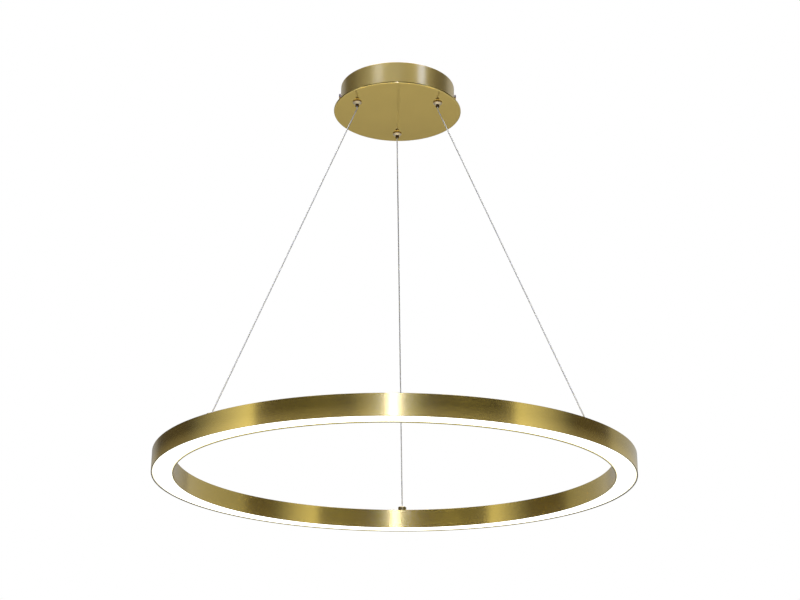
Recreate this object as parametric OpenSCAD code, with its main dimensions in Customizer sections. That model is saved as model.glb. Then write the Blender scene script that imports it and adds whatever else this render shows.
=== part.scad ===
// Pendant light: a lit ring on three cables under a round ceiling rose.
// Origin: centre of the rose on the ceiling plane. Z is up, so the light hangs below zero.
// Lengths are millimetres, angles are degrees, and bearings turn from +X towards +Y.

/* [Ring] */
// Outer diameter of the ring
ring_d = 800; // [560:10:1000]
// Width of the ring's profile, across both walls
ring_w = 36; // [34:1:46]
// Height of the ring's profile
ring_h = 34; // [28:1:46]
// Thickness of the two walls
ring_wall = 1.6; // [1.2:0.1:2.4]
// Thickness of the web that closes the top
ring_web = 2; // [1.6:0.1:3]
// How far the two ledges stand in from the walls
ledge_w = 1.8; // [1.4:0.1:2.4]
// Thickness of the two ledges
ledge_t = 1.2; // [0.8:0.1:2]

/* [Diffuser] */
// Thickness of the opal cover
cover_t = 2.4; // [1.6:0.1:3]
// Height of the cover's face above the walls' edges
cover_recess = 1.2; // [0.2:0.1:2]
// Gap between the cover and the walls
cover_gap = 0.2; // [0.1:0.05:0.4]
// Thickness of the cover's two snap legs
leg_t = 1.2; // [0.8:0.1:1.8]
// Reach of the snap hooks over the ledges
hook_w = 1; // [0.6:0.1:1.2]

/* [Light source] */
// Width of the light boards
board_w = 18; // [12:1:20]
// Thickness of the light boards
board_t = 1.6; // [1:0.1:2]
// Length of one light chip along the ring
chip_l = 3.5; // [2.8:0.1:5]
// Width of one light chip
chip_w = 2.8; // [1.6:0.1:5]
// Thickness of one light chip
chip_t = 0.8; // [0.5:0.1:1.2]
// Pitch of the light chips along the ring
chip_pitch = 50; // [40:1:80]

/* [Anchors] */
// Bearing of the far anchor
far_anchor_at = 87.7; // [84:0.1:96]
// Bearing of the left anchor
left_anchor_at = 222.6; // [210:0.1:228]
// Bearing of the right anchor
right_anchor_at = 320.3; // [312:0.1:330]
// How far the anchors stand inside the middle of the ring's profile
anchor_in = 5; // [0:0.5:6]
// Diameter of an anchor's barrel
anchor_d = 15.5; // [14:0.5:18]
// Height of an anchor's barrel
anchor_h = 8; // [7:0.5:12]
// Diameter of an anchor's threaded stud
stud_d = 8; // [8:0.5:9]
// Outer diameter of the insulating bush in an anchor
bush_d = 5.4; // [5.2:0.1:5.8]
// Diameter of the crimped barrel on a cable's lower end
cable_end_d = 4; // [3.6:0.1:4]
// Length of the crimped barrel on a cable's lower end
cable_end_l = 7; // [5:0.5:9]
// Width across the flats of an anchor's nut
anchor_nut_af = 13; // [12:0.5:14]
// Thickness of an anchor's nut
anchor_nut_t = 4; // [3:0.5:5]
// Thickness of an anchor's washer
anchor_washer_t = 0.8; // [0.5:0.1:1.2]

/* [Cables] */
// Height from the underside of the rose to the top of the ring
drop = 650; // [480:10:1200]
// Diameter of the steel core of a cable
core_d = 1.2; // [0.8:0.1:1.4]
// Diameter of the clear jacket of a cable
jacket_d = 2.2; // [1.8:0.1:2.4]
// Length of bare core above an anchor
bare_core = 6; // [3:0.5:12]
// Length of a hanging cable above the point where it leans
cable_stub = 6; // [3:0.5:9]

/* [Rose] */
// Outer diameter of the drum
drum_d = 206; // [196:1:226]
// Height of the drum
drum_h = 45; // [45:1:60]
// Thickness of the drum's wall
drum_wall = 1.2; // [0.8:0.1:2]
// Thickness of the drum's floor
drum_floor = 1.2; // [1:0.1:2]
// Diameter of the polished plate under the drum
plate_d = 230; // [228:1:260]
// Thickness of the polished plate
plate_t = 2.5; // [2.5:0.1:4]
// Radius of the plate's rounded lower edge
plate_edge = 1.6; // [0.8:0.1:2.2]
// Depth of the side screws' axis below the ceiling
side_screw_down = 14; // [11.5:0.5:18]
// Diameter of a side screw's thread
side_screw_d = 4; // [3.5:0.5:5]
// Diameter of a side screw's head
side_head_d = 9; // [7:0.5:10]
// Height of a side screw's head
side_head_t = 3.2; // [2.5:0.1:5]

/* [Ceiling bracket] */
// Width of the bracket's strip
strip_w = 20; // [16:1:26]
// Thickness of the bracket's steel
strip_t = 2; // [1.5:0.1:3]
// Diameter of the pad round the cable hole
pad_d = 60; // [46:1:70]
// Diameter of the cable hole
entry_d = 20; // [12:1:26]
// Distance between the two ceiling screws
slot_spacing = 110; // [100:1:120]
// Length of a ceiling screw's slot, end to end
slot_l = 25; // [12:1:28]
// Width of a ceiling screw's slot
slot_w = 5; // [4:0.5:6.5]
// Length of the ears below the side screws' axis
ear_below = 7; // [5:0.5:12]

/* [Cable grips] */
// Distance of the three grips from the drum's outside
grip_inset = 20; // [17:0.5:23]
// Height from the plate's underside to the point where a cable starts to lean
grip_tip = 13; // [11:0.5:16]
// Height from the plate's underside to the nozzle's mouth
nozzle_tip = 9; // [8.5:0.5:11]
// Diameter of a grip's flange
flange_d = 16; // [14:0.5:20]
// Thickness of the flange's rim
flange_t = 1.6; // [1:0.1:2.5]
// Depth of the cone under the flange
cone_t = 3.4; // [2:0.1:5]
// Diameter of a grip's thread
grip_thread_d = 10; // [10:0.5:11]
// Diameter of the plunger's nozzle
nozzle_d = 6.5; // [6.4:0.1:6.8]
// Travel of the plunger
plunger_travel = 3; // [1.5:0.5:3]
// Diameter of one gripping ball
ball_d = 1.5; // [1.4:0.1:1.6]
// Width across the flats of a grip's nut
grip_nut_af = 14; // [13:0.5:17]
// Thickness of a grip's nut
grip_nut_t = 4; // [3:0.5:5]

/* [Driver and terminals] */
// Length of the driver's case
driver_l = 150; // [130:1:152]
// Width of the driver's case
driver_w = 42; // [34:1:44]
// Height of the driver's case with its lid
driver_h = 26; // [24:1:27]
// Wall of the driver's case
driver_wall = 1.8; // [1.2:0.1:2.4]
// Y of the driver's middle line
driver_y = 8; // [4:1:8]
// Length of the terminal block
block_l = 38; // [34:1:40]
// Depth of the terminal block
block_w = 20; // [18:1:22]
// Height of the terminal block
block_h = 16; // [15:1:20]
// Diameter of a mains lead
mains_lead_d = 2.6; // [2:0.1:2.8]
// Diameter of a low-voltage lead
low_lead_d = 1.8; // [1.4:0.1:2]

/* [Clearances] */
// Radial clearance of a sliding fit
slide_fit = 0.1; // [0.05:0.01:0.1]
// Radial clearance of a thread in its hole
thread_fit = 0.05; // [0.03:0.01:0.08]
// Radial clearance of a screw in a through hole
hole_fit = 0.2; // [0.1:0.05:0.4]
// Gap between pieces that move past each other
run_gap = 0.3; // [0.2:0.05:0.4]

/* [Hidden] */
$fn = 48;
eps = 0.01;

// Heights of the main levels
plate_z = -drum_h - plate_t;
floor_z = -drum_h + drum_floor;
ring_top = plate_z - drop;
ring_z = ring_top - ring_h;
side_screw_z = -side_screw_down;

// Radii of the ring
ring_r = ring_d / 2;
ring_mid = ring_r - ring_w / 2;
ring_in = ring_r - ring_w;
anchor_r = ring_mid - anchor_in;
cover_top = cover_recess + cover_t;
ledge_top = cover_top + ledge_t;
hook_t = 1;

// Bearings of the three grips and anchors, in the order far, left, right
GRIPS = [90, 210, 330];
ANCHORS = [far_anchor_at, left_anchor_at, right_anchor_at];

// Heights in an anchor, above the top of the ring
shoulder_t = 2.5;
bush_cap = 1;
bush_top = anchor_h - shoulder_t;
crimp_top = bush_top - bush_cap;
stud_l = ring_web + anchor_washer_t + anchor_nut_t + 0.8;
board_gap = 18;

// Heights in a grip, above the underside of the polished plate
stack_t = plate_t + drum_floor;
shoulder_z = -1;
head_top = shoulder_z + 7;
wedge_z = head_top + plunger_travel + 0.5;
wedge_h = 5;
ball_z = wedge_z + wedge_h / 2;
cage_top = wedge_z + wedge_h + 0.7;
spring_h = plunger_travel + 3.3;
plug_z = cage_top + spring_h;
plug_h = 2.5;
grip_top = plug_z + plug_h;
crimp_z = grip_top + 2;
tail_z = -grip_tip + cable_stub + run_gap;
tail_crimp_l = 8;
tail_crimp_d = 4.4;
grip_washer_t = 1;

// Radii in a grip
cavity_r = grip_thread_d / 2 - 1;
head_r = cavity_r - slide_fit;
cage_r = 2.4;
cage_bore_r = jacket_d / 2 + 0.15;
mouth_r = nozzle_d / 2 - 0.85;
mouth_top = head_top - 1;
ball_gap = 0.04;
ball_at = jacket_d / 2 + ball_d / 2 + ball_gap;

// Points of a cable: where it leaves its grip, and where it enters its anchor
grip_circle = drum_d - 2 * grip_inset;
function polar(r, a, z) = [r * cos(a), r * sin(a), z];
function grip_point(i) = polar(grip_circle / 2, GRIPS[i], plate_z - grip_tip);
function anchor_point(i) = polar(anchor_r, ANCHORS[i], ring_top + anchor_h);

// Inside of the drum and the place of the bracket's ears
drum_in = drum_d / 2 - drum_wall;
ear_x = sqrt(pow(drum_in, 2) - pow(strip_w / 2, 2)) - 0.5;
ear_l = side_screw_down + ear_below - strip_t;
earth_x = 16.8 - ear_x;
earth_d = 4;
earth_l = 11;
earth_nut_af = 7;
earth_nut_t = 3.2;
earth_tag_t = 0.8;

// Screws in the floor of the drum
plate_screw_circle = drum_d - 26;
floor_screw_d = 3;
floor_head_d = 5.6;
floor_head_t = 1.8;
screw_bite = 1.5;
blind_depth = 1.7;
tab_l = 10;
tab_t = 2;
lid_t = 4;
lead_hole_z = 11;
block_at = [66.8 - drum_in, 52];
pole_pitch = 10;
POLES = [-pole_pitch, 0, pole_pitch];
pole_up = 6;
TAB_SCREWS = [[-driver_l / 2 - tab_l / 2, driver_y], [driver_l / 2 + tab_l / 2, driver_y]];
PLATE_SCREWS = [for (a = [45:90:315]) [cos(a), sin(a)] * plate_screw_circle / 2];

// Tube surface along a smooth curve through points chosen by hand
function knot(p, i) = p[max(0, min(len(p) - 1, i))];
function curve(p, i, t) = 0.5 * (2 * knot(p, i) + (knot(p, i + 1) - knot(p, i - 1)) * t
    + (2 * knot(p, i - 1) - 5 * knot(p, i) + 4 * knot(p, i + 1) - knot(p, i + 2)) * t * t
    + (3 * knot(p, i) - knot(p, i - 1) - 3 * knot(p, i + 1) + knot(p, i + 2)) * t * t * t);
function smooth(p, n) = [
    for (i = [0:len(p) - 2])
        for (k = [0:n - 1])
            curve(p, i, k / n),
    p[len(p) - 1]
];
function unit(v) = v / norm(v);
function along(q, i) = unit(q[min(i + 1, len(q) - 1)] - q[max(i - 1, 0)]);
function carry(n, t) = unit(n - (n * t) * t);
function frames(q, i, n) = i >= len(q) ? [] : concat([carry(n, along(q, i))],
    frames(q, i + 1, carry(n, along(q, i))));

module lead(points, d) {
    q = smooth(points, 3);
    t0 = along(q, 0);
    n = frames(q, 0, abs(t0[2]) < 0.7 ? [0, 0, 1] : [1, 0, 0]);
    sides = 8;
    rings = [
        for (i = [0:len(q) - 1])
            for (k = [0:sides - 1])
                let (a = k * 360 / sides)
                let (side = cross(along(q, i), n[i]))
                q[i] + d / 2 * (cos(a) * n[i] + sin(a) * side)
    ];
    walls = [
        for (i = [0:len(q) - 2])
            for (k = [0:sides - 1])
                let (a = i * sides + k)
                let (b = i * sides + (k + 1) % sides)
                each [[a, b + sides, b], [a, a + sides, b + sides]]
    ];
    last = (len(q) - 1) * sides;
    ends = [
        for (k = [1:sides - 2])
            each [[0, k, k + 1], [last, last + k + 1, last + k]]
    ];
    polyhedron(points = rings, faces = concat(walls, ends));
}

// Ceiling bracket: a steel strip with two slots, a cable hole and two ears bent down
module ceiling_bracket() {
    color([0.72, 0.72, 0.74])
        difference() {
            union() {
                translate([-ear_x, -strip_w / 2, -strip_t])
                    cube([2 * ear_x, strip_w, strip_t]);
                translate([0, 0, -strip_t])
                    cylinder(h = strip_t, d = pad_d);
                for (s = [-1, 1])
                    translate([s > 0 ? ear_x - strip_t : -ear_x, -strip_w / 2, -strip_t - ear_l])
                        cube([strip_t, strip_w, ear_l + eps]);
            }
            translate([0, 0, -strip_t - 1])
                cylinder(h = strip_t + 2, d = entry_d);
            for (s = [-1, 1])
                translate([s * slot_spacing / 2, 0, -strip_t - 1])
                    screw_slot(strip_t + 2);
            translate([-ear_x - 1, 0, side_screw_z])
                rotate([0, 90, 0])
                    cylinder(h = 2 * ear_x + 2, d = side_screw_d + 2 * thread_fit);
        }
}

module screw_slot(h) {
    reach = (slot_l - slot_w) / 2;
    for (s = [-1, 1])
        translate([s * reach, 0, 0])
            cylinder(h = h, d = slot_w);
    translate([-reach, -slot_w / 2, 0])
        cube([2 * reach, slot_w, h]);
}

// Earth stud pressed into the strip, with the lead's ring tag under its nut
module earth_stud() {
    color([0.8, 0.68, 0.35])
        translate([earth_x, 0, -strip_t - earth_l])
            cylinder(h = earth_l, d = earth_d);
}

module earth_nut() {
    color([0.8, 0.68, 0.35])
        translate([earth_x, 0, -strip_t - earth_tag_t - earth_nut_t])
            hex_nut(earth_nut_af, earth_nut_t, earth_d);
}

module hex_nut(af, t, d) {
    difference() {
        cylinder(h = t, d = af / cos(30), $fn = 6);
        translate([0, 0, -1])
            cylinder(h = t + 2, d = d + 2 * thread_fit, $fn = 48);
    }
}

// Drum of the rose: brushed wall with a floor, open to the ceiling
module canopy_drum() {
    color([0.62, 0.53, 0.3])
        difference() {
            translate([0, 0, -drum_h])
                rotate_extrude($fn = 180)
                    union() {
                        square([drum_d / 2, drum_floor]);
                        translate([drum_in, 0])
                            square([drum_wall, drum_h]);
                    }
            for (a = GRIPS)
                translate(polar(grip_circle / 2, a, -drum_h - 1))
                    cylinder(h = drum_floor + 2, d = grip_thread_d + 2 * hole_fit);
            for (p = concat(PLATE_SCREWS, TAB_SCREWS, [block_at]))
                translate([p[0], p[1], -drum_h - 1])
                    cylinder(h = drum_floor + 2, d = floor_screw_d + 2 * hole_fit);
            translate([-drum_d / 2 - 1, 0, side_screw_z])
                rotate([0, 90, 0])
                    cylinder(h = drum_d + 2, d = side_screw_d + 2 * run_gap);
        }
}

// Polished plate under the drum, wider than the drum, with a rounded lower edge
module canopy_plate() {
    r = plate_d / 2;
    e = plate_edge;
    edge = [for (a = [270:15:360]) [r - e + e * cos(a), e + e * sin(a)]];
    color([0.68, 0.58, 0.32])
        difference() {
            translate([0, 0, plate_z])
                rotate_extrude($fn = 180)
                    polygon(concat([[0, 0]], edge, [[r, plate_t], [0, plate_t]]));
            for (a = GRIPS)
                translate(polar(grip_circle / 2, a, plate_z - 1))
                    cylinder(h = plate_t + 2, d = grip_thread_d + 2 * hole_fit);
            for (p = concat(PLATE_SCREWS, TAB_SCREWS, [block_at]))
                translate([p[0], p[1], -drum_h - blind_depth])
                    cylinder(h = blind_depth + 1, d = floor_screw_d + 2 * thread_fit);
        }
}

module floor_screw(under) {
    difference() {
        union() {
            translate([0, 0, under])
                cylinder(h = floor_head_t, d = floor_head_d);
            translate([0, 0, -drum_h - screw_bite])
                cylinder(h = under + drum_h + screw_bite + eps, d = floor_screw_d);
        }
        for (a = [0, 90])
            rotate([0, 0, a])
                translate([-1.4, -0.3, under + 0.8])
                    cube([2.8, 0.6, floor_head_t]);
    }
}

// Four screws that hold the plate to the drum from inside
module plate_screws() {
    color([0.75, 0.75, 0.77])
        for (p = PLATE_SCREWS)
            translate([p[0], p[1], 0])
                floor_screw(floor_z);
}

// Three screws that hold the driver's tabs and the terminal block to the floor
module floor_screws() {
    color([0.75, 0.75, 0.77]) {
        for (p = TAB_SCREWS)
            translate([p[0], p[1], 0])
                floor_screw(floor_z + tab_t);
        translate([block_at[0], block_at[1], 0])
            floor_screw(floor_z + block_h / 2);
    }
}

// Side screw through the drum into a bracket's ear, with a slotted, milled head
module side_screw() {
    outer = drum_d / 2 + run_gap;
    inner = ear_x - strip_t - 1.5;
    teeth = 24;
    color([0.55, 0.53, 0.5])
        difference() {
            union() {
                translate([inner, 0, side_screw_z])
                    rotate([0, 90, 0])
                        cylinder(h = outer - inner + eps, d = side_screw_d);
                translate([outer, 0, side_screw_z])
                    rotate([0, 90, 0])
                        cylinder(h = side_head_t - 0.4, d = side_head_d);
                translate([outer + side_head_t - 0.4, 0, side_screw_z])
                    rotate([0, 90, 0])
                        cylinder(h = 0.4, d1 = side_head_d, d2 = side_head_d - 0.8);
            }
            translate([outer + side_head_t - 1.1, -0.5, side_screw_z - side_head_d])
                cube([2, 1, 2 * side_head_d]);
            for (k = [0:teeth - 1])
                translate([outer - 1, 0, side_screw_z])
                    rotate([k * 360 / teeth, 0, 0])
                        translate([0, -0.2, side_head_d / 2 - 0.25])
                            cube([side_head_t + 2, 0.4, 1]);
        }
}

module side_screw_left() {
    mirror([1, 0, 0])
        side_screw();
}

module side_screw_right() {
    side_screw();
}

// Driver case: an open tray with a fixing tab at each end
module driver_case() {
    h = driver_h - lid_t;
    w = driver_wall;
    color([0.93, 0.93, 0.92])
        translate([0, driver_y, floor_z])
            difference() {
                union() {
                    translate([-driver_l / 2, -driver_w / 2, 0])
                        cube([driver_l, driver_w, h]);
                    for (s = [-1, 1])
                        translate([s > 0 ? driver_l / 2 - eps : -driver_l / 2 - tab_l + eps, -6, 0])
                            cube([tab_l, 12, tab_t]);
                }
                translate([-driver_l / 2 + w, -driver_w / 2 + w, w])
                    cube([driver_l - 2 * w, driver_w - 2 * w, h]);
                for (s = [-1, 1])
                    translate([s * (driver_l + tab_l) / 2, 0, -1])
                        cylinder(h = tab_t + 2, d = floor_screw_d + 2 * hole_fit);
                for (y = [-4, 4])
                    translate([-driver_l / 2 - 1, y, lead_hole_z])
                        rotate([0, 90, 0])
                            cylinder(h = w + 2, d = mains_lead_d + 2 * run_gap);
                for (y = [-4, 4])
                    translate([driver_l / 2 - w - 1, y, lead_hole_z])
                        rotate([0, 90, 0])
                            cylinder(h = w + 2, d = low_lead_d + 2 * run_gap);
            }
}

// Snap-on lid of the driver, with a spigot inside the tray and cooling slots
module driver_lid() {
    h = driver_h - lid_t;
    w = driver_wall + cover_gap;
    slots = 9;
    color([0.9, 0.9, 0.89])
        translate([0, driver_y, floor_z + h])
            difference() {
                union() {
                    translate([-driver_l / 2, -driver_w / 2, 0])
                        cube([driver_l, driver_w, lid_t]);
                    translate([-driver_l / 2 + w, -driver_w / 2 + w, -2])
                        cube([driver_l - 2 * w, driver_w - 2 * w, 2 + eps]);
                }
                translate([-driver_l / 2 + 2 * w, -driver_w / 2 + 2 * w, -3])
                    cube([driver_l - 4 * w, driver_w - 4 * w, lid_t + 3 - driver_wall]);
                for (k = [0:slots - 1])
                    translate([(k - (slots - 1) / 2) * 7 - 1, -10, 0])
                        cube([2, 20, lid_t + 1]);
            }
}

// Driver board on four feet, with its transformer, choke and capacitors
module driver_board() {
    foot_h = 4;
    board_l = driver_l - 2 * driver_wall - 4;
    board_y = driver_w - 2 * driver_wall - 2;
    top = driver_wall + foot_h + 1.6;
    color([0.16, 0.36, 0.22])
        translate([0, driver_y, floor_z])
            union() {
                translate([-board_l / 2, -board_y / 2, driver_wall + foot_h])
                    cube([board_l, board_y, 1.6]);
                for (x = [-1, 1])
                    for (y = [-1, 1])
                        translate([x * (board_l / 2 - 4), y * (board_y / 2 - 4), driver_wall])
                            cylinder(h = foot_h + eps, d = 5);
                translate([-10, -11, top - eps])
                    cube([24, 22, 10]);
                translate([28, -8, top - eps])
                    cube([14, 16, 9]);
                translate([-42, 6, top - eps])
                    cylinder(h = 9.5, d = 12);
                translate([-26, -8, top - eps])
                    cylinder(h = 9.5, d = 10);
                translate([50, 6, top - eps])
                    cylinder(h = 8, d = 8);
                translate([-60, -12, top - eps])
                    cube([8, 10, 7]);
            }
}

// Three-pole terminal block, screwed to the floor through its middle
module terminal_block() {
    color([0.92, 0.92, 0.9])
        translate([block_at[0], block_at[1], floor_z])
            difference() {
                union() {
                    translate([-block_l / 2, -block_w / 2, 0])
                        cube([block_l, block_w, block_h / 2]);
                    for (x = POLES)
                        translate([x - 4, -block_w / 2, block_h / 2 - eps])
                            cube([8, block_w / 2 - 3.5, block_h / 2]);
                }
                translate([0, 0, -1])
                    cylinder(h = block_h, d = floor_screw_d + 2 * hole_fit);
                for (x = POLES)
                    translate([x, -block_w / 2 - 1, pole_up])
                        rotate([-90, 0, 0])
                            cylinder(h = 7, d = mains_lead_d + 2 * slide_fit);
                for (x = POLES)
                    translate([x, block_w / 2 + 1, pole_up])
                        rotate([90, 0, 0])
                            cylinder(h = 7, d = mains_lead_d + 2 * slide_fit);
                for (x = POLES)
                    translate([x, -block_w / 2 + 3.3, pole_up + 3])
                        cylinder(h = block_h, d = 3.6 + 2 * thread_fit);
            }
}

// Clamping screws of the terminal block
module terminal_screws() {
    color([0.78, 0.7, 0.45])
        for (x = POLES)
            translate([block_at[0] + x, block_at[1] - block_w / 2 + 3.3, floor_z + pole_up + 3])
                difference() {
                    cylinder(h = 4.5, d = 3.6);
                    translate([-2, -0.35, 3.7])
                        cube([4, 0.7, 2]);
                }
}

// Points that the leads pass: the poles, the driver's holes, its corner and the bay beside it
function pole(k) = [block_at[0] + POLES[k], block_at[1] - block_w / 2 + 1, floor_z + pole_up];
function driver_in(y) = [-driver_l / 2 + 1, driver_y + y, floor_z + lead_hole_z];
function driver_out(y) = [driver_l / 2 - 1, driver_y + y, floor_z + lead_hole_z];
end_x = driver_l / 2;
side_y = driver_y + driver_w / 2;
bay_x = (end_x + drum_in) / 2;

// Two mains leads from the terminal block into the driver
module mains_leads() {
    color([0.55, 0.3, 0.16])
        lead([pole(0), pole(0) - [0, 3, 0], pole(0) - [1, 6.5, -0.5],
            [5 - end_x, side_y + 3.5, floor_z + 8.5], [-end_x - 10, side_y - 5, floor_z + 10],
            driver_in(4) - [9, -2, 0], driver_in(4) - [4, 0, 0], driver_in(4)], mains_lead_d);
    color([0.2, 0.36, 0.7])
        lead([pole(1), pole(1) - [0, 3, 0], pole(1) - [1, 6.5, -1.5],
            pole(1) - [10, 8, -6.8], [9 - end_x, side_y + 5, floor_z + 13.8],
            [4 - bay_x, side_y - 1.5, floor_z + 13.8], [-bay_x - 3, side_y - 14, floor_z + 12.6],
            driver_in(-4) - [9, -2, 0], driver_in(-4) - [4, 0, 0], driver_in(-4)], mains_lead_d);
}

// Earth lead from the terminal block to the ring tag on the bracket's stud
module earth_lead() {
    tag_z = -strip_t - earth_tag_t;
    color([0.55, 0.65, 0.2]) {
        lead([pole(2), pole(2) - [0, 3, 0], pole(2) - [1, 6.5, -2], pole(2) - [8, 8, -9.8],
            pole(2) - [24, 8, -13], [9 - end_x, side_y + 5, floor_z + 22],
            [-end_x - 5, side_y - 0.5, floor_z + 30], [earth_x, side_y - 14, -7],
            [earth_x, 9, tag_z - 1], [earth_x, 5, tag_z - 1]], low_lead_d);
        translate([earth_x, 0, tag_z])
            difference() {
                union() {
                    cylinder(h = earth_tag_t, d = 8);
                    translate([-1.5, 3, 0])
                        cube([3, 6, earth_tag_t]);
                }
                translate([0, 0, -1])
                    cylinder(h = 3, d = earth_d + 2 * thread_fit);
            }
    }
}

// Two low-voltage leads from the driver to the upper ends of two cables
module output_leads() {
    top = plate_z + crimp_z + tail_crimp_l;
    far = polar(grip_circle / 2, GRIPS[0], top);
    right = polar(grip_circle / 2, GRIPS[2], top);
    color([0.75, 0.2, 0.18])
        lead([driver_out(4), driver_out(4) + [4, 0, 0], [bay_x - 3, side_y - 9, floor_z + 11],
            [end_x + 3, side_y + 8, floor_z + 12], [end_x - 17, side_y + 25, floor_z + 13],
            far + [38, -9, -8], far + [20, 1, 1], far + [9, 3, 5], far + [3, 0.5, 5.5],
            far + [0.4, 0, 3], far], low_lead_d);
    color([0.12, 0.12, 0.13])
        lead([driver_out(-4), driver_out(-4) + [4, 0, 0], [bay_x - 1, driver_y - 16, floor_z + 12],
            [bay_x - 1, driver_y - 29, floor_z + 17], right + [14, 8, 1], right + [9, 3, 5],
            right + [3, 0.5, 5.5], right + [0.4, 0, 3], right], low_lead_d);
}

// Everything in a grip is placed on the grip's axis, on the underside of the plate
module at_grip(i) {
    translate(polar(grip_circle / 2, GRIPS[i], plate_z))
        children();
}

// Body of a cable grip: flange and cone below the plate, threaded shank through it
module grip_body() {
    color([0.75, 0.62, 0.34])
        difference() {
            union() {
                translate([0, 0, -flange_t])
                    cylinder(h = flange_t, d = flange_d);
                translate([0, 0, -flange_t - cone_t])
                    cylinder(h = cone_t, d1 = nozzle_d + 3, d2 = flange_d - 0.6);
                cylinder(h = grip_top, d = grip_thread_d);
            }
            translate([0, 0, shoulder_z])
                cylinder(h = grip_top - shoulder_z + 1, r = cavity_r);
            translate([0, 0, -flange_t - cone_t - 1])
                cylinder(h = flange_t + cone_t + 2, d = nozzle_d + 2 * slide_fit);
        }
}

module grip_body_far() {
    at_grip(0)
        grip_body();
}

module grip_body_left() {
    at_grip(1)
        grip_body();
}

module grip_body_right() {
    at_grip(2)
        grip_body();
}

// Washers and nuts that clamp the grips inside the drum
module grip_washers() {
    color([0.8, 0.8, 0.8])
        for (i = [0:2])
            at_grip(i)
                translate([0, 0, stack_t])
                    difference() {
                        cylinder(h = grip_washer_t, d = grip_nut_af + 4);
                        translate([0, 0, -1])
                            cylinder(h = 3, d = grip_thread_d + 2 * hole_fit);
                    }
}

module grip_nuts() {
    color([0.8, 0.8, 0.8])
        for (i = [0:2])
            at_grip(i)
                translate([0, 0, stack_t + grip_washer_t])
                    hex_nut(grip_nut_af, grip_nut_t, grip_thread_d);
}

// Wedge sleeve: its bore narrows downwards, so a loaded cable draws the balls tight
module grip_wedges() {
    color([0.6, 0.6, 0.62])
        for (i = [0:2])
            at_grip(i)
                translate([0, 0, wedge_z])
                    difference() {
                        cylinder(h = wedge_h, r = cavity_r - thread_fit);
                        wedge_bore();
                    }
}

module wedge_bore() {
    low = cage_r + 0.1;
    middle = ball_at + ball_d / 2 + 1.5 * ball_gap;
    slope = 2 * (middle - low) / wedge_h;
    translate([0, 0, -1])
        cylinder(h = wedge_h + 2, r1 = low - slope, r2 = low + slope * (wedge_h + 1));
}

// Plug that closes a grip's top and carries its spring
module grip_plugs() {
    color([0.7, 0.58, 0.32])
        for (i = [0:2])
            at_grip(i)
                translate([0, 0, plug_z])
                    difference() {
                        cylinder(h = plug_h, r = cavity_r - thread_fit);
                        translate([0, 0, -1])
                            cylinder(h = plug_h + 2, r = cage_bore_r);
                    }
}

// Spring that presses a plunger down: a plain sleeve of the coil's size, sealed in the grip
module grip_spring() {
    color([0.6, 0.6, 0.62])
        translate([0, 0, cage_top + 0.1])
            difference() {
                cylinder(h = spring_h - 0.1, r = cage_r - 0.1);
                translate([0, 0, -1])
                    cylinder(h = spring_h + 2, r = cage_bore_r + 0.25);
            }
}

module grip_spring_far() {
    at_grip(0)
        grip_spring();
}

module grip_spring_left() {
    at_grip(1)
        grip_spring();
}

module grip_spring_right() {
    at_grip(2)
        grip_spring();
}

// Plunger: the nozzle that is pushed up to free the cable, its head and its ball cage
module plunger() {
    lip = 0.5;
    color([0.78, 0.66, 0.38])
        difference() {
            union() {
                translate([0, 0, -nozzle_tip])
                    cylinder(h = lip, d1 = nozzle_d - 2 * lip, d2 = nozzle_d);
                translate([0, 0, -nozzle_tip + lip])
                    cylinder(h = nozzle_tip + shoulder_z - lip + eps, d = nozzle_d);
                translate([0, 0, shoulder_z])
                    cylinder(h = head_top - shoulder_z, r = head_r);
                cylinder(h = cage_top, r = cage_r);
            }
            translate([0, 0, -nozzle_tip - 1])
                cylinder(h = nozzle_tip + mouth_top + 1, r = mouth_r);
            cylinder(h = cage_top + 1, r = cage_bore_r);
            for (a = [0, 120, 240])
                rotate([0, 0, a])
                    translate([0, 0, ball_z])
                        rotate([0, 90, 0])
                            cylinder(h = cage_r + 1, d = ball_d + 2 * thread_fit);
        }
}

module plunger_far() {
    at_grip(0)
        plunger();
}

module plunger_left() {
    at_grip(1)
        plunger();
}

module plunger_right() {
    at_grip(2)
        plunger();
}

// Three balls in the cage, between the cable and the wedge
module grip_balls() {
    color([0.7, 0.7, 0.72])
        for (a = [0, 120, 240])
            rotate([0, 0, a])
                translate([ball_at, 0, ball_z])
                    sphere(d = ball_d, $fn = 24);
}

module grip_balls_far() {
    at_grip(0)
        grip_balls();
}

module grip_balls_left() {
    at_grip(1)
        grip_balls();
}

module grip_balls_right() {
    at_grip(2)
        grip_balls();
}

// Upper end of a cable, held by the balls, with its core bared for the crimp
module cable_tail() {
    color([0.8, 0.8, 0.82])
        union() {
            translate([0, 0, tail_z])
                cylinder(h = crimp_z - tail_z, d = jacket_d);
            translate([0, 0, crimp_z - eps])
                cylinder(h = tail_crimp_l - 1, d = core_d);
        }
}

module cable_tail_far() {
    at_grip(0)
        cable_tail();
}

module cable_tail_left() {
    at_grip(1)
        cable_tail();
}

module cable_tail_right() {
    at_grip(2)
        cable_tail();
}

// Crimped barrels on the upper ends: each stops its cable and two join it to a lead
module tail_crimps() {
    color([0.75, 0.75, 0.78])
        for (i = [0:2])
            at_grip(i)
                translate([0, 0, crimp_z])
                    difference() {
                        cylinder(h = tail_crimp_l, d = tail_crimp_d);
                        translate([0, 0, -1])
                            cylinder(h = tail_crimp_l, d = core_d + 2 * thread_fit);
                    }
}

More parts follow.
